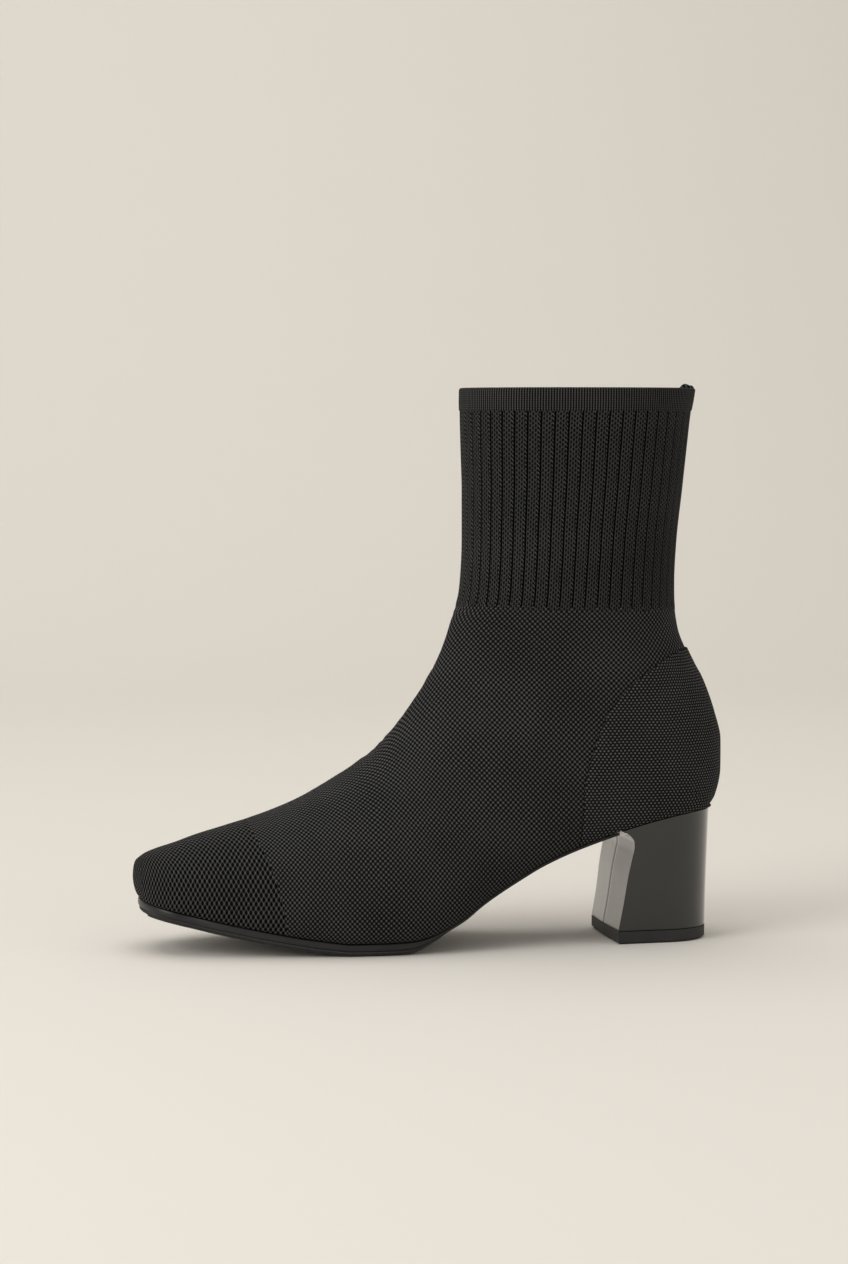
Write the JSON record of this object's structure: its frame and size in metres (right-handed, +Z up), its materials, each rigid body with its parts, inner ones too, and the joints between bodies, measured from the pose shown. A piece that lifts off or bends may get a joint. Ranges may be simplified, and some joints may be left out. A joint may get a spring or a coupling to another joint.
{
  "type": "knitted ankle boot",
  "caption": "Pull-on knitted ankle boot with a ribbed shaft, a folded collar band, a heel patch, a thin moulded sole and a glossy block heel.",
  "frame": {"origin": "centre of the top lift's face on the floor", "axes": "+Z up, the toe points along -X, the outer side of the foot along -Y"},
  "size_m": [0.2461, 0.0842, 0.2292],
  "materials": {
    "knit": "matte black knit",
    "insole_lining": "matte lining",
    "moulded_sole": "smooth, slightly satin",
    "glossy_heel": "high gloss black",
    "lift_rubber": "matte"
  },
  "bodies": {
    "root": {"upper": "knit", "insole": "insole_lining", "outsole": "moulded_sole", "heel_block": "glossy_heel", "top_lift": "lift_rubber"}
  },
  "joints": []
}
